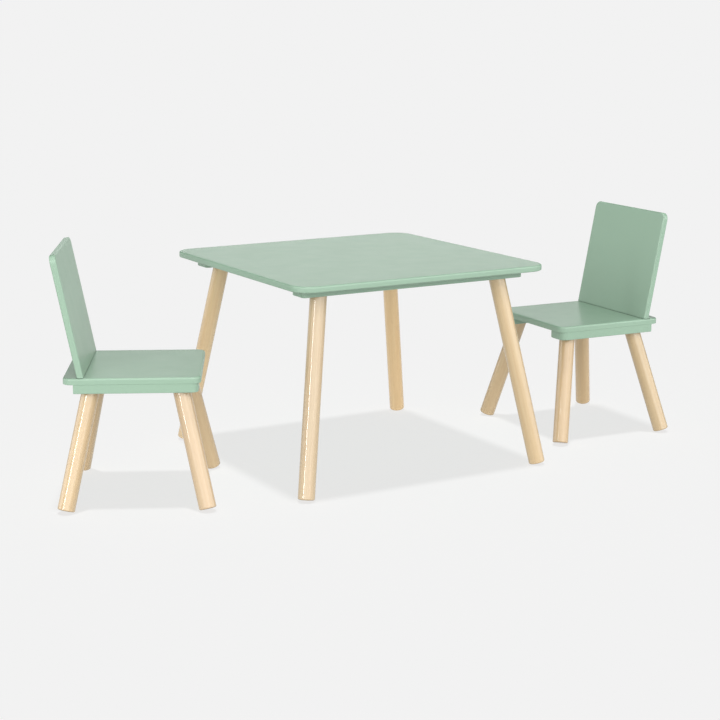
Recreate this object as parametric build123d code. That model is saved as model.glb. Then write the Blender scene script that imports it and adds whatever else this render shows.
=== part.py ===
from build123d import *
from math import cos, radians, sin, sqrt
import os

# A toddler's table with two chairs: painted panels and battens on splayed round wooden legs.
# Millimetres, +Z up. The origin is on the floor under the middle of the table. +X runs along the
# table's front edge towards the right chair, and +Y runs to the back of the table.
# Each chair is drawn facing +X, with its seat centred on its own Z axis, and is then placed.

# Panels and legs, the same stock on the table and the chairs
PANEL_THICK = 13.0
PANEL_TOP_ROUND = 4.0
BATTEN_THICK = 18.0
BATTEN_ROUND = 1.5
LEG_RADIUS = 17.5
FOOT_ROUND = 3.0
LEG_TOP_CHAMFER = 0.8
LEG_SEAT_DEPTH = 4.5        # how far a leg's axis runs up into its pocket in the batten

# Table
TABLE_SIDE = 600.0
TABLE_HEIGHT = 437.0
TABLE_CORNER = 42.0
TABLE_BOTTOM_ROUND = 2.5
TABLE_BATTEN_WIDTH = 50.0
TABLE_BATTEN_LENGTH = 532.0
TABLE_BATTEN_INSET = 50.0   # from the edge of the top to the batten's outer face
TABLE_BATTEN_CORNER = 8.0
TABLE_LEG_TOP = (217.0, 224.0)    # where a leg's axis meets the underside of its batten
TABLE_LEG_FOOT = (285.0, 292.0)   # where a leg's axis meets the floor
TABLE_SCREW_X = (-150.0, -55.0, 55.0, 150.0)

# Chair
SEAT_DEPTH = 270.0
SEAT_WIDTH = 276.0
SEAT_HEIGHT = 265.0
SEAT_CORNER = 18.0
SEAT_BOTTOM_ROUND = 0.8           # small, so that the seat and battens read as one edge
CHAIR_BATTEN_REAR = -114.0
CHAIR_BATTEN_FRONT = 130.0
CHAIR_BATTEN_INNER = 81.0
CHAIR_BATTEN_OUTER = 137.5
CHAIR_BATTEN_CORNER = 15.0
CHAIR_LEG_TOP = (89.0, 104.0)
CHAIR_LEG_FOOT = (140.0, 163.0)
CHAIR_LEG_SHIFT = 6.0             # the legs stand this far forward of the seat's middle
CHAIR_SCREW_SPACING = 50.0
BACK_WIDTH = 274.0
BACK_LENGTH = 246.0
BACK_TILT = 11.0                  # degrees back from upright
BACK_FOOT = 42.0                  # from the seat's rear edge to the foot of the backrest's front face
BACK_CORNER = 15.0
BACK_ROUND = 3.0
BACK_FOOT_ROUND = 1.2             # leaves a fine groove where the backrest meets the seat
BACK_SCREW_Y = (-55.0, 0.0, 55.0)
BACK_DOWEL_Y = (-100.0, 100.0)

# Where the chairs stand: x, y and heading in degrees
CHAIR_PLACES = {"left_chair": (-538.0, -40.0, -27.0), "right_chair": (579.0, -35.0, 176.5)}

# Fasteners
HOLE_GAP = 0.05                   # radial clearance of each fastener in its hole
POCKET_GAP = 0.1
BOLT_RADIUS = 4.0                 # M8 hanger bolt
BOLT_CORE = 3.3
BOLT_METAL_PITCH = 1.25
BOLT_WOOD_PITCH = 3.0
BOLT_WOOD_LENGTH = 30.0
BOLT_TIP = 5.0
INSERT_RADIUS = 6.0
INSERT_CORE = 5.3
INSERT_LENGTH = 12.0
INSERT_PITCH = 2.0
SCREW_PITCH = 1.6
SCREW_RIM = 0.4                   # upright rim round a countersunk head
SCREW_RUNOUT = 0.5                # from the smooth shank to the first thread
CROSS_LENGTH_SHARE = 1.1          # of the head's radius, like the next one
CROSS_WIDTH_SHARE = 0.28
BATTEN_SCREW = {"radius": 2.0, "core": 1.5, "head": 3.9, "length": 25.0, "recess": 2.0}
BACK_SCREW = {"radius": 2.5, "core": 1.8, "head": 4.8, "length": 50.0, "recess": 1.5}
DOWEL_RADIUS = 4.0
DOWEL_IN_SEAT = 9.0
DOWEL_LENGTH = 30.0
DOWEL_CHAMFER = 1.0

TABLE_UNDERSIDE = TABLE_HEIGHT - PANEL_THICK
TABLE_JOINT_Z = TABLE_UNDERSIDE - BATTEN_THICK
SEAT_UNDERSIDE = SEAT_HEIGHT - PANEL_THICK
CHAIR_JOINT_Z = SEAT_UNDERSIDE - BATTEN_THICK
ON_BASE = (Align.CENTER, Align.CENTER, Align.MIN)

FORE_AND_AFT = {"front": 1, "back": -1}
CHAIR_SIDES = {"left": 1, "right": -1}     # as someone sitting on the chair would say
TABLE_SIDES = {"left": -1, "right": 1}     # as someone facing the table's front would say


def along(point, direction):
    """A location at point whose Z axis runs along direction."""
    return Plane(origin=point, z_dir=direction).location


def panel(length, width, corner, z_low, bottom_round):
    """A flat board with rounded corners and softened edges."""
    board = Pos(0, 0, z_low) * Box(length, width, PANEL_THICK, align=ON_BASE)
    board = fillet(board.edges().filter_by(Axis.Z), corner)
    board = fillet(board.faces().sort_by(Axis.Z)[-1].edges(), PANEL_TOP_ROUND)
    return fillet(board.faces().sort_by(Axis.Z)[0].edges(), bottom_round)


def strip(x_range, y_range, z_low, round_corners, corner):
    """A batten under a panel. round_corners are the (x, y) corners that get a large radius."""
    length = x_range[1] - x_range[0]
    width = y_range[1] - y_range[0]
    middle = Pos(sum(x_range) / 2, sum(y_range) / 2, z_low)
    board = middle * Box(length, width, BATTEN_THICK, align=ON_BASE)
    uprights = board.edges().filter_by(Axis.Z)
    large = [uprights.sort_by_distance((x, y, z_low))[0] for x, y in round_corners]
    board = fillet(large, corner)
    return fillet(board.faces().sort_by(Axis.Z)[0].edges(), BATTEN_ROUND)


def ridges(core, crest, z_start, pitch, count):
    """Outline points of a run of thread ridges, going up."""
    points = []
    for turn in range(count):
        points.append((crest, z_start + (turn + 0.5) * pitch))
        points.append((core, z_start + (turn + 1) * pitch))
    return points


def turned(points):
    """A solid of revolution about Z from (radius, z) outline points."""
    outline = Polyline([(r, 0, z) for r, z in points], close=True)
    return revolve(make_face(outline), Axis.Z)


def screw(radius, core, head, length, recess):
    """A countersunk wood screw, head down at z = recess, with a cross in its head."""
    taper = recess + head - radius
    thread_start = recess + length / 3
    tip = recess + length
    count = int((tip - radius * 2 - thread_start) / SCREW_PITCH)
    outline = [(0, recess), (head, recess), (head, recess + SCREW_RIM), (radius, taper + SCREW_RIM)]
    outline += [(radius, thread_start - SCREW_RUNOUT), (core, thread_start)]
    outline += ridges(core, radius, thread_start, SCREW_PITCH, count)
    outline += [(0, tip)]
    slot = Box(head * CROSS_LENGTH_SHARE, head * CROSS_WIDTH_SHARE, head)
    body = turned(outline)
    for turn in (0, 90):
        body -= Pos(0, 0, recess) * Rot(0, 0, turn) * slot
    return body


def screw_hole(radius, core, head, length, recess):
    """The hole that a screw fills, open below z = 0 for the driver."""
    wide = head + HOLE_GAP
    narrow = radius + HOLE_GAP
    neck = recess + head - radius + SCREW_RIM
    outline = [(0, -head), (wide, -head), (wide, recess + SCREW_RIM), (narrow, neck)]
    outline += [(narrow, recess + length), (0, recess + length)]
    return turned(outline)


def hanger_bolt():
    """Machine thread above z = 0, wood thread and point below."""
    wood_turns = int((BOLT_WOOD_LENGTH - BOLT_TIP) / BOLT_WOOD_PITCH)
    metal_turns = int(INSERT_LENGTH / BOLT_METAL_PITCH)
    wood_start = -wood_turns * BOLT_WOOD_PITCH
    outline = [(0, -BOLT_WOOD_LENGTH), (BOLT_CORE, wood_start)]
    outline += ridges(BOLT_CORE, BOLT_RADIUS, wood_start, BOLT_WOOD_PITCH, wood_turns)
    outline += ridges(BOLT_CORE, BOLT_RADIUS, 0, BOLT_METAL_PITCH, metal_turns)
    outline += [(0, metal_turns * BOLT_METAL_PITCH)]
    return turned(outline)


def insert_nut():
    """A threaded insert: an open tube with coarse ridges outside."""
    bore = BOLT_RADIUS + HOLE_GAP
    count = int(INSERT_LENGTH / INSERT_PITCH)
    outline = [(bore, 0), (INSERT_CORE, 0)]
    outline += ridges(INSERT_CORE, INSERT_RADIUS, 0, INSERT_PITCH, count)
    outline += [(bore, INSERT_LENGTH)]
    return turned(outline)


class Leg:
    """A round splayed leg, its pocket in the batten and the bolt that holds it."""

    def __init__(self, top_xy, foot_xy, joint_z):
        foot = Vector(*foot_xy, 0)
        self.up = (Vector(*top_xy, joint_z) - foot).normalized()
        lean = sqrt(1 - self.up.Z**2)
        rise = (LEG_RADIUS - FOOT_ROUND) * lean + FOOT_ROUND * (1 - self.up.Z)
        self.bottom = foot + self.up * (rise / self.up.Z)
        self.top = foot + self.up * (joint_z / self.up.Z + LEG_SEAT_DEPTH)

    def wood(self):
        length = (self.top - self.bottom).length
        solid = Cylinder(LEG_RADIUS, length, align=ON_BASE)
        rims = solid.edges().filter_by(GeomType.CIRCLE).sort_by(Axis.Z)
        solid = fillet(rims[0], FOOT_ROUND)
        rims = solid.edges().filter_by(GeomType.CIRCLE).sort_by(Axis.Z)
        solid = chamfer(rims[-1], LEG_TOP_CHAMFER)
        bolt_hole = Cylinder(BOLT_RADIUS + HOLE_GAP, BOLT_WOOD_LENGTH, align=ON_BASE)
        solid -= Pos(0, 0, length - BOLT_WOOD_LENGTH) * bolt_hole
        return along(self.bottom, self.up) * solid

    def pocket(self):
        """What is cut from the batten: the leg's seat below and the insert's hole above."""
        seat = Cylinder(LEG_RADIUS + POCKET_GAP, LEG_RADIUS, align=(Align.CENTER, Align.CENTER, Align.MAX))
        hole = Cylinder(INSERT_RADIUS + HOLE_GAP, INSERT_LENGTH, align=ON_BASE)
        return along(self.top, self.up) * (seat + hole)

    def at_top(self, piece):
        return along(self.top, self.up) * piece


def table_parts():
    top = panel(TABLE_SIDE, TABLE_SIDE, TABLE_CORNER, TABLE_UNDERSIDE, TABLE_BOTTOM_ROUND)
    parts = {}
    legs = []
    screws = []
    half = TABLE_BATTEN_LENGTH / 2
    outer = TABLE_SIDE / 2 - TABLE_BATTEN_INSET
    inner = outer - TABLE_BATTEN_WIDTH
    for end, y_sign in (("front", -1), ("back", 1)):
        y_range = sorted((y_sign * inner, y_sign * outer))
        corners = [(x, y) for x in (-half, half) for y in y_range]
        board = strip((-half, half), y_range, TABLE_JOINT_Z, corners, TABLE_BATTEN_CORNER)
        for side, x_sign in TABLE_SIDES.items():
            top_xy = (x_sign * TABLE_LEG_TOP[0], y_sign * TABLE_LEG_TOP[1])
            foot_xy = (x_sign * TABLE_LEG_FOOT[0], y_sign * TABLE_LEG_FOOT[1])
            leg = Leg(top_xy, foot_xy, TABLE_JOINT_Z)
            legs.append(leg)
            board -= leg.pocket()
            parts[f"table_leg_{end}_{side}"] = leg.wood()
        for x in TABLE_SCREW_X:
            place = Pos(x, y_sign * (inner + outer) / 2, TABLE_JOINT_Z)
            board -= place * screw_hole(**BATTEN_SCREW)
            top -= place * screw_hole(**BATTEN_SCREW)
            screws.append(place * screw(**BATTEN_SCREW))
        parts[f"table_batten_{end}"] = board
    parts["table_top"] = top
    parts["table_hanger_bolts"] = Compound([leg.at_top(hanger_bolt()) for leg in legs])
    parts["table_insert_nuts"] = Compound([leg.at_top(insert_nut()) for leg in legs])
    parts["table_batten_screws"] = Compound(screws)
    return parts


def backrest():
    """A tilted board whose foot is cut level, so that it stands flat on the seat."""
    board = Box(PANEL_THICK, BACK_WIDTH, BACK_LENGTH + PANEL_THICK, align=(Align.MAX, Align.CENTER, Align.MAX))
    board = Pos(0, 0, BACK_LENGTH) * board
    ends = board.edges().filter_by(Axis.X).group_by(Axis.Z)[-1]
    board = fillet(ends, BACK_CORNER)
    faces = board.faces().sort_by(Axis.X)
    foot = board.faces().sort_by(Axis.Z)[0]
    rims = [e for face in (faces[0], faces[-1]) for e in face.edges() if e not in foot.edges()]
    board = fillet(rims, BACK_ROUND)
    board = back_frame(0) * Pos(PANEL_THICK / 2, 0, 0) * board
    below = Pos(0, 0, SEAT_HEIGHT) * Box(SEAT_DEPTH * 2, SEAT_WIDTH * 2, SEAT_HEIGHT,
                                         align=(Align.CENTER, Align.CENTER, Align.MAX))
    board -= below
    return fillet(board.faces().sort_by(Axis.Z)[0].edges(), BACK_FOOT_ROUND)


def back_frame(y):
    """Where the backrest's mid-plane meets the seat, at y across it, with Z up the backrest."""
    x = -SEAT_DEPTH / 2 + BACK_FOOT - PANEL_THICK / 2 / cos(radians(BACK_TILT))
    return Pos(x, y, SEAT_HEIGHT) * Rot(0, -BACK_TILT, 0)


def chair_parts(name):
    seat = panel(SEAT_DEPTH, SEAT_WIDTH, SEAT_CORNER, SEAT_UNDERSIDE, SEAT_BOTTOM_ROUND)
    back = backrest()
    parts = {}
    legs = []
    batten_screws = []
    for side, y_sign in CHAIR_SIDES.items():
        y_range = sorted((y_sign * CHAIR_BATTEN_INNER, y_sign * CHAIR_BATTEN_OUTER))
        x_range = (CHAIR_BATTEN_REAR, CHAIR_BATTEN_FRONT)
        front_corners = [(CHAIR_BATTEN_FRONT, y) for y in y_range]
        board = strip(x_range, y_range, CHAIR_JOINT_Z, front_corners, CHAIR_BATTEN_CORNER)
        for end, x_sign in FORE_AND_AFT.items():
            top_xy = (CHAIR_LEG_SHIFT + x_sign * CHAIR_LEG_TOP[0], y_sign * CHAIR_LEG_TOP[1])
            foot_xy = (CHAIR_LEG_SHIFT + x_sign * CHAIR_LEG_FOOT[0], y_sign * CHAIR_LEG_FOOT[1])
            leg = Leg(top_xy, foot_xy, CHAIR_JOINT_Z)
            legs.append(leg)
            board -= leg.pocket()
            parts[f"leg_{end}_{side}"] = leg.wood()
        for step in (-1, 0, 1):
            x = CHAIR_LEG_SHIFT + step * CHAIR_SCREW_SPACING
            place = Pos(x, sum(y_range) / 2, CHAIR_JOINT_Z)
            board -= place * screw_hole(**BATTEN_SCREW)
            seat -= place * screw_hole(**BATTEN_SCREW)
            batten_screws.append(place * screw(**BATTEN_SCREW))
        parts[f"batten_{side}"] = board

    through_seat = PANEL_THICK / cos(radians(BACK_TILT))
    back_screws = []
    for y in BACK_SCREW_Y:
        place = back_frame(y) * Pos(0, 0, -through_seat)
        seat -= place * screw_hole(**BACK_SCREW)
        back -= place * screw_hole(**BACK_SCREW)
        back_screws.append(place * screw(**BACK_SCREW))
    dowels = []
    for y in BACK_DOWEL_Y:
        place = back_frame(y) * Pos(0, 0, -DOWEL_IN_SEAT)
        hole = place * Cylinder(DOWEL_RADIUS + HOLE_GAP, DOWEL_LENGTH, align=ON_BASE)
        seat -= hole
        back -= hole
        dowel = Cylinder(DOWEL_RADIUS, DOWEL_LENGTH, align=ON_BASE)
        dowel = chamfer(dowel.edges().filter_by(GeomType.CIRCLE), DOWEL_CHAMFER)
        dowels.append(place * dowel)

    parts["seat"] = seat
    parts["backrest"] = back
    parts["hanger_bolts"] = Compound([leg.at_top(hanger_bolt()) for leg in legs])
    parts["insert_nuts"] = Compound([leg.at_top(insert_nut()) for leg in legs])
    parts["batten_screws"] = Compound(batten_screws)
    parts["back_screws"] = Compound(back_screws)
    parts["back_dowels"] = Compound(dowels)
    x, y, heading = CHAIR_PLACES[name]
    place = Pos(x, y, 0) * Rot(0, 0, heading)
    return {f"{name}_{piece}": place * shape for piece, shape in parts.items()}


def all_parts():
    parts = table_parts()
    for name in CHAIR_PLACES:
        parts.update(chair_parts(name))
    return parts


os.makedirs("parts", exist_ok=True)
for node, shape in all_parts().items():
    export_step(shape, f"parts/{node}.step")
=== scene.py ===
from math import cos, radians, sin

import bpy
import numpy as np
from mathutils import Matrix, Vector


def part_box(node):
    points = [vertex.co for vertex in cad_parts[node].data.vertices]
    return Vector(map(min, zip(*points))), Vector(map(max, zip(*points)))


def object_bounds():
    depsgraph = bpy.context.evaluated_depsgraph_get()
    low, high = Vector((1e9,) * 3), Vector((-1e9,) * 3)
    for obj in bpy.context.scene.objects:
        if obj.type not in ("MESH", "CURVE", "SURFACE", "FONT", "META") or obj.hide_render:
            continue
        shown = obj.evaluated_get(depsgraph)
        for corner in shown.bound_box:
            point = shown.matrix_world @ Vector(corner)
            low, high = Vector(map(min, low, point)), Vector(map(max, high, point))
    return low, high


# A toddler's table with two chairs: satin green panels on splayed legs of pale lacquered wood.
# The shapes are the CAD nodes. This script gives them their finishes and sets light and camera.
# Lengths are in metres and angles in degrees. Azimuth 0 is the table's front, 90 its right.

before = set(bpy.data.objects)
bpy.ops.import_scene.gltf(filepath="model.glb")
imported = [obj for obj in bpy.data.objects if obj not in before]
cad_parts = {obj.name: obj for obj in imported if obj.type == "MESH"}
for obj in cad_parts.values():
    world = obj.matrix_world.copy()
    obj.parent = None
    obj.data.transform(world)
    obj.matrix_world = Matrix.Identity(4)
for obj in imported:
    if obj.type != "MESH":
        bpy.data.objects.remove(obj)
cad_low, cad_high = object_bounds()

# Camera: where it looks from, and the point near the table's middle that its axis meets
CAMERA_AZIMUTH = -30.17
CAMERA_ELEVATION = 11.99
CAMERA_DISTANCE = 3.806
CAMERA_LENS = 86.54            # millimetres, as is the sensor
CAMERA_SENSOR = 36.0
CAMERA_REACH = 1000.0          # past the far corners of the floor
AIM_ASIDE = 0.017              # in front of the table's middle
AIM_HEIGHT_SHARE = 0.496       # of the height of the table top's underside

# Colours, linear
WHITE = (1.0, 1.0, 1.0)
GREEN = (0.200, 0.303, 0.222)
WOOD_PALE = (0.435, 0.326, 0.185)
WOOD_DARK = (0.353, 0.235, 0.116)
LEG_TONES_AND_PAINTED_LIGHT = {                  # what a leg's wood is multiplied by, where that isn't 1: partly each leg's own tone, partly painted light that brightens the back legs the lamps leave in shade and dims legs they light more
    "table_leg_back_left": (1.37, 1.38, 1.38),
    "table_leg_back_right": (1.36, 1.31, 1.22),
    "table_leg_front_left": (0.97, 1.00, 1.08),
    "table_leg_front_right": (1.05, 1.06, 1.06),
    "left_chair_leg_front_right": (1.00, 1.00, 1.07),
    "right_chair_leg_front_left": (0.95, 0.91, 0.86),
    "right_chair_leg_back_left": (0.95, 0.97, 0.97),
    "right_chair_leg_back_right": (1.03, 1.00, 0.95),
}
ZINC = (0.62, 0.63, 0.65)
ZINC_BLOOM = (0.70, 0.69, 0.64)
BEECH = (0.66, 0.47, 0.31)
BACKDROP = (0.887, 0.887, 0.887)   # as pale as the lit floor

# Paint: noise scales to the metre, and how deep the relief is
CLOUD_SCALE = 5.0
PATCH_SCALE = 22.0
MIST_SCALE = 900.0
WAVE_SCALE, WAVE_DEPTH = 60.0, 0.0003
PEEL_SCALE, PEEL_DEPTH = 420.0, 0.0001
PAINTED_SHADE_REACH = 0.004           # how far from an inner corner the painted shade reaches

# Legs: noise scales to the metre, in two directions across the leg and then along it
SWAY_SCALE, SWAY_SIZE = (9.0, 9.0, 2.2), 0.020           # how the rings stray from circles
RIPPLE_SCALE, RIPPLE_SIZE = (60.0, 60.0, 5.0), 0.0016
FIBRE_SCALE = (1100.0, 1100.0, 26.0)
STREAK_SCALE = (170.0, 170.0, 4.0)
PORE_SCALE = (1900.0, 1900.0, 90.0)
PORE_EDGE = (0.66, 0.74)       # the noise from which a pore begins, and is full
FILM_SCALE, FILM_DEPTH = (70.0, 70.0, 12.0), 0.0003
GRAIN_DEPTH = 0.0001
RINGS_PER_METRE = 250.0
PITH_OFFSET = 0.045            # from the leg's axis to the middle of its tree
PITH_TURN = 2.4                # radians from one leg's offset to the next
LOG_STEP = 0.37                # further along the log for each leg

# Dowels and fasteners
DOWEL_FIBRE_SCALE = (1400.0, 1400.0, 60.0)
DOWEL_FLECK_SCALE = (700.0, 700.0, 120.0)
DOWEL_DEPTH = 0.0002
BLOOM_SCALE = 260.0
GRIT_SCALE, GRIT_DEPTH = 2400.0, 0.00005

# Studio
FLOOR_REACH = 400.0            # from the middle to each side
FLOOR_GAP = 0.0002             # under the feet
FLOOR_GLOW = 0.74
FLOOR_GREY = (0.27, 0.27, 0.27)
WORLD_GLOW = 0.12


# ---------------------------------------------------------------- node helpers

class Finish:
    """A material and short calls that add nodes to it."""

    def __init__(self, name):
        self.material = bpy.data.materials.new(name)
        self.material.use_nodes = True
        self.tree = self.material.node_tree
        self.tree.nodes.clear()

    def put(self, socket, value):
        """Gives an input its value: a number, a colour or another node's output."""
        if isinstance(value, bpy.types.NodeSocket):
            self.tree.links.new(value, socket)
        else:
            socket.default_value = value

    def node(self, kind, inputs=None, **settings):
        """Adds a node, with its inputs by name or by number."""
        made = self.tree.nodes.new(kind)
        for name, value in settings.items():
            setattr(made, name, value)
        for name, value in (inputs or {}).items():
            self.put(made.inputs[name], value)
        return made

    def place(self):
        """A point of the surface in the row frame at rest. It moves with its body."""
        return self.node("ShaderNodeTexCoord").outputs["Object"]

    def noise(self, place, scale, detail=2.0, roughness=0.5):
        """Smooth noise, mostly between 0.3 and 0.7. A scale of three numbers stretches it."""
        if isinstance(scale, tuple):
            place, scale = self.maths3("MULTIPLY", place, scale), 1.0
        made = self.node("ShaderNodeTexNoise", {"Vector": place, "Scale": scale,
                                                "Detail": detail, "Roughness": roughness})
        return made.outputs["Fac"]

    def maths(self, operation, *values):
        """An operation on numbers."""
        made = self.node("ShaderNodeMath", dict(enumerate(values)), operation=operation)
        return made.outputs["Value"]

    def maths3(self, operation, *values):
        """An operation on vectors. LENGTH and DOT_PRODUCT give a number."""
        made = self.node("ShaderNodeVectorMath", dict(enumerate(values)), operation=operation)
        return made.outputs["Value" if operation in ("LENGTH", "DOT_PRODUCT") else "Vector"]

    def fit(self, value, low, high, to_low, to_high):
        """value, taken from the range low to high into another range, and held inside it."""
        made = self.node("ShaderNodeMapRange", {"Value": value, "From Min": low, "From Max": high,
                                                "To Min": to_low, "To Max": to_high})
        return made.outputs["Result"]

    def spread(self, noise, to_low, to_high):
        """The usual range of noise, taken into another range."""
        return self.fit(noise, 0.3, 0.7, to_low, to_high)

    def mix(self, share, first, second):
        """first, with that share of second over it. Both are colours."""
        made = self.node("ShaderNodeMix", {0: share}, data_type="RGBA")
        for index, value in ((6, first), (7, second)):
            self.put(made.inputs[index], (*value, 1.0) if isinstance(value, tuple) else value)
        return made.outputs[2]

    def bump(self, height, strength, depth, below=None):
        """A normal with relief, on top of another's where below is given."""
        inputs = {"Height": height, "Strength": strength, "Distance": depth}
        if below is not None:
            inputs["Normal"] = below
        return self.node("ShaderNodeBump", inputs).outputs["Normal"]

    def surface(self, inputs):
        """The Principled shader and the material's output."""
        shader = self.node("ShaderNodeBsdfPrincipled", inputs)
        self.node("ShaderNodeOutputMaterial", {"Surface": shader.outputs["BSDF"]})
        return self.material


def shade(colour, factor):
    return tuple(c * factor for c in colour)


def tinted(colour, tone):
    return tuple(c * t for c, t in zip(colour, tone))


# ---------------------------------------------------------------- materials

def green_paint():
    """Sprayed satin paint on smooth board, a little uneven, with painted shade that darkens it in
    its inner corners.
    """
    paint = Finish("green_paint")
    place = paint.place()
    clouds = paint.noise(place, CLOUD_SCALE, detail=3.0)
    mist = paint.noise(place, MIST_SCALE, detail=1.0)
    patches = paint.noise(place, PATCH_SCALE, detail=3.0)
    peel = paint.noise(place, PEEL_SCALE, roughness=0.45)
    waves = paint.noise(place, WAVE_SCALE, detail=1.0)
    painted_crease_shade = paint.node("ShaderNodeAmbientOcclusion", {"Distance": PAINTED_SHADE_REACH}, samples=4)

    colour = paint.mix(paint.spread(clouds, 0.0, 1.0), shade(GREEN, 0.985), shade(GREEN, 1.015))
    colour = paint.mix(paint.fit(mist, 0.35, 0.65, 0.0, 0.35), colour, shade(GREEN, 1.03))
    # painted shade: where ambient occlusion finds an inner corner or crease, the green is
    # darkened
    dark = paint.fit(painted_crease_shade.outputs["AO"], 0.45, 0.85, 0.55, 0.0)
    colour = paint.mix(dark, colour, shade(GREEN, 0.25))
    normal = paint.bump(waves, 0.008, WAVE_DEPTH)
    normal = paint.bump(peel, 0.06, PEEL_DEPTH, normal)
    return paint.surface({
        "Base Color": colour,
        "Roughness": paint.spread(patches, 0.43, 0.47),
        "Specular IOR Level": 0.55,
        "Coat Weight": 0.15,
        "Coat IOR": 1.6,
        "Coat Roughness": 0.12,
        "Normal": normal,
    })


def leg_axis(name):
    """The middle of a leg and the direction up along it, from the leg's own points."""
    points = np.array([v.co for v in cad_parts[name].data.vertices])
    middle = (points.min(axis=0) + points.max(axis=0)) / 2
    axes = np.linalg.svd(points - points.mean(axis=0), full_matrices=False)[2]
    up = Vector(axes[0])
    if up.z < 0:
        up.negate()
    return Vector(middle), up


def lacquered_wood(name, number):
    """Pale wood with its grain along the leg: growth rings, streaks, fibres and pores, under
    clear lacquer. The leg's number sets where in the log it was cut."""
    wood = Finish(f"lacquered_wood_{name}")
    # the leg's own tone and its painted light, as one multiplier
    tone = LEG_TONES_AND_PAINTED_LIGHT.get(name, WHITE)
    pale, dark = tinted(WOOD_PALE, tone), tinted(WOOD_DARK, tone)
    middle, up = leg_axis(name)
    turn = up.to_track_quat("Z", "Y").to_euler()
    leg = wood.node("ShaderNodeMapping", {"Vector": wood.place(), "Location": middle,
                                          "Rotation": turn}, vector_type="TEXTURE")
    leg = leg.outputs["Vector"]
    angle = number * PITH_TURN
    cut = Vector((cos(angle) * PITH_OFFSET, sin(angle) * PITH_OFFSET, number * LOG_STEP))
    log = wood.maths3("ADD", leg, cut)

    sway = wood.maths("MULTIPLY", wood.noise(log, SWAY_SCALE), SWAY_SIZE)
    ripple = wood.maths("MULTIPLY", wood.noise(log, RIPPLE_SCALE), RIPPLE_SIZE)
    radius = wood.maths3("LENGTH", wood.maths3("MULTIPLY", log, (1.0, 1.0, 0.0)))
    radius = wood.maths("ADD", wood.maths("ADD", radius, sway), ripple)
    ring = wood.maths("FRACT", wood.maths("MULTIPLY", radius, RINGS_PER_METRE))
    late_wood = wood.maths("POWER", ring, 3.0)

    fibre = wood.noise(log, FIBRE_SCALE, detail=3.0, roughness=0.65)
    streaks = wood.noise(log, STREAK_SCALE, detail=3.0)
    pores = wood.fit(wood.noise(log, PORE_SCALE, detail=1.0), *PORE_EDGE, 0.0, 1.0)
    facing = wood.maths3("DOT_PRODUCT", wood.node("ShaderNodeTexCoord").outputs["Normal"], up)
    end_grain = wood.fit(wood.maths("ABSOLUTE", facing), 0.35, 0.85, 0.0, 0.7)

    colour = wood.mix(wood.spread(streaks, 0.0, 0.55), pale, shade(dark, 1.12))
    colour = wood.mix(wood.maths("MULTIPLY", late_wood, 0.22), colour, dark)
    colour = wood.mix(wood.fit(fibre, 0.35, 0.75, 0.0, 0.20), colour, shade(dark, 0.9))
    colour = wood.mix(wood.maths("MULTIPLY", pores, 0.30), colour, shade(dark, 0.6))
    colour = wood.mix(end_grain, colour, shade(dark, 0.55))

    normal = wood.bump(fibre, 0.05, GRAIN_DEPTH)
    normal = wood.bump(pores, -0.02, GRAIN_DEPTH, normal)
    lacquer = wood.bump(wood.noise(leg, FILM_SCALE, detail=1.0), 0.003, FILM_DEPTH)
    return wood.surface({
        "Base Color": colour,
        "Roughness": wood.spread(fibre, 0.42, 0.52),
        "Coat Weight": 1.0,
        "Coat Roughness": 0.08,
        "Coat Normal": lacquer,
        "Normal": normal,
    })


def raw_dowel():
    """Bare beech, for the dowels inside the joints."""
    wood = Finish("raw_dowel")
    place = wood.place()
    fibre = wood.noise(place, DOWEL_FIBRE_SCALE, detail=3.0)
    flecks = wood.fit(wood.noise(place, DOWEL_FLECK_SCALE), 0.6, 0.7, 0.0, 0.5)
    colour = wood.mix(wood.spread(fibre, 0.0, 1.0), BEECH, shade(BEECH, 0.8))
    colour = wood.mix(flecks, colour, shade(BEECH, 0.6))
    return wood.surface({
        "Base Color": colour,
        "Roughness": wood.spread(fibre, 0.65, 0.8),
        "Normal": wood.bump(fibre, 0.3, DOWEL_DEPTH),
    })


def zinc_steel():
    """Bright zinc plate with a faint cloudy bloom, for screws, bolts and inserts."""
    zinc = Finish("zinc_steel")
    place = zinc.place()
    bloom = zinc.noise(place, BLOOM_SCALE, detail=4.0)
    grit = zinc.noise(place, GRIT_SCALE, detail=1.0)
    colour = zinc.mix(zinc.spread(bloom, 0.0, 1.0), shade(ZINC, 0.9), ZINC_BLOOM)
    return zinc.surface({
        "Base Color": colour,
        "Metallic": 1.0,
        "Roughness": zinc.spread(bloom, 0.28, 0.42),
        "Normal": zinc.bump(grit, 0.15, GRIT_DEPTH),
    })


def finish_nodes():
    """Gives every CAD node its material, by what the node is."""
    green = green_paint()
    zinc = zinc_steel()
    dowel = raw_dowel()
    legs = 0
    for name in sorted(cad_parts):
        if "_leg_" in name:
            legs += 1
            made = lacquered_wood(name, legs)
        elif name.endswith(("_bolts", "_nuts", "_screws")):
            made = zinc
        elif name.endswith("_dowels"):
            made = dowel
        else:
            made = green
        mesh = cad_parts[name].data
        mesh.materials.clear()
        mesh.materials.append(made)


# ---------------------------------------------------------------- studio

def direction(azimuth, elevation):
    """The unit vector from the table towards a light or the camera."""
    a, e = radians(azimuth), radians(elevation)
    return Vector((sin(a) * cos(e), -cos(a) * cos(e), sin(e)))


def stand(name, data, towards, location=(0, 0, 0)):
    """Puts a light or camera in the scene, facing away from the direction towards."""
    made = bpy.data.objects.new(name, data)
    made.location = location
    made.rotation_mode = "QUATERNION"
    made.rotation_quaternion = towards.to_track_quat("Z", "Y")
    bpy.context.scene.collection.objects.link(made)
    return made


def sun(name, azimuth, elevation, spread, strength):
    """A distant light, spread degrees across."""
    light = bpy.data.lights.new(name, "SUN")
    light.energy = strength
    light.angle = radians(spread)
    return stand(name, light, direction(azimuth, elevation))


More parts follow.
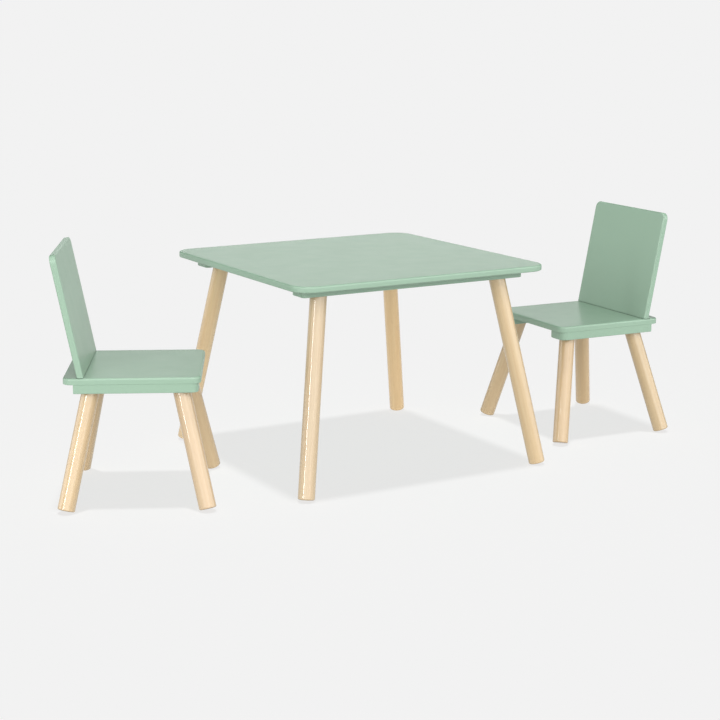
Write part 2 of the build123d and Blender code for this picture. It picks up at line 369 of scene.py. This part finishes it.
def softbox(name, azimuth, distance, middle, width, height, power):
    """An upright rectangular light that faces the table, its middle that high over the floor."""
    light = bpy.data.lights.new(name, "AREA")
    light.shape = "RECTANGLE"
    light.size = width
    light.size_y = height
    light.energy = power
    towards = direction(azimuth, 0)
    return stand(name, light, towards, towards * distance + Vector((0, 0, middle)))


def spare_the_floor(lamp, floor):
    """The lamp lights everything but the floor, so that it casts no shadow there."""
    group = bpy.data.collections.new(f"{lamp.name}_receivers")
    group.objects.link(floor)
    group.collection_objects[0].light_linking.link_state = "EXCLUDE"
    lamp.light_linking.receiver_collection = group


def studio_floor():
    """A seamless pale floor. It gives off most of its own light, so shadows on it are faint."""
    mesh = bpy.data.meshes.new("studio_floor")
    height = cad_low.z - FLOOR_GAP
    corners = [(x * FLOOR_REACH, y * FLOOR_REACH, height)
               for x, y in ((-1, -1), (1, -1), (1, 1), (-1, 1))]
    mesh.from_pydata(corners, [], [(0, 1, 2, 3)])
    floor = bpy.data.objects.new("studio_floor", mesh)
    bpy.context.scene.collection.objects.link(floor)
    paper = Finish("pale_floor")
    glow = paper.node("ShaderNodeEmission", {"Color": (*WHITE, 1.0), "Strength": FLOOR_GLOW})
    matt = paper.node("ShaderNodeBsdfDiffuse", {"Color": (*FLOOR_GREY, 1.0)})
    both = paper.node("ShaderNodeAddShader", {0: glow.outputs[0], 1: matt.outputs[0]})
    paper.node("ShaderNodeOutputMaterial", {"Surface": both.outputs[0]})
    mesh.materials.append(paper.material)
    return floor


def studio_world():
    """Soft light from all round. The camera sees it as pale as the floor."""
    world = bpy.data.worlds.new("studio")
    world.use_nodes = True
    tree = world.node_tree
    glow = tree.nodes["Background"]
    glow.inputs["Color"].default_value = (*WHITE, 1.0)
    glow.inputs["Strength"].default_value = WORLD_GLOW
    wall = tree.nodes.new("ShaderNodeBackground")
    wall.inputs["Color"].default_value = (*BACKDROP, 1.0)
    path = tree.nodes.new("ShaderNodeLightPath")
    both = tree.nodes.new("ShaderNodeMixShader")
    tree.links.new(path.outputs["Is Camera Ray"], both.inputs[0])
    tree.links.new(glow.outputs[0], both.inputs[1])
    tree.links.new(wall.outputs[0], both.inputs[2])
    tree.links.new(both.outputs[0], tree.nodes["World Output"].inputs["Surface"])
    bpy.context.scene.world = world


def studio_lights(floor):
    """One light from above casts the shadows on the floor. The others light only the set."""
    sun("overhead", azimuth=0, elevation=90, spread=5, strength=1.34)
    others = [
        sun("front_right", azimuth=38, elevation=16, spread=78, strength=3.30),
        sun("front_left", azimuth=-34, elevation=16, spread=78, strength=3.45),
        sun("back_right", azimuth=150, elevation=7, spread=28, strength=0.25),
        sun("back_left", azimuth=-120, elevation=15, spread=50, strength=1.40),
        softbox("strip_left", azimuth=-68, distance=2.5, middle=0.75, width=0.14, height=1.0,
                power=14.0),   # draws the white line down each leg
    ]
    for lamp in others:
        spare_the_floor(lamp, floor)


def studio_camera():
    """Looks at the table from its front left, a little from above."""
    camera = bpy.data.cameras.new("camera")
    camera.lens = CAMERA_LENS
    camera.sensor_width = CAMERA_SENSOR
    camera.clip_end = CAMERA_REACH
    top_low, top_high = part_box("table_top")
    aim = (top_low + top_high) / 2
    aim.y -= AIM_ASIDE
    aim.z = top_low.z * AIM_HEIGHT_SHARE
    towards = direction(CAMERA_AZIMUTH, CAMERA_ELEVATION)
    bpy.context.scene.camera = stand("camera", camera, towards, aim + towards * CAMERA_DISTANCE)


finish_nodes()
studio_world()
studio_lights(studio_floor())
studio_camera()
bpy.context.scene.view_settings.view_transform = "Standard"
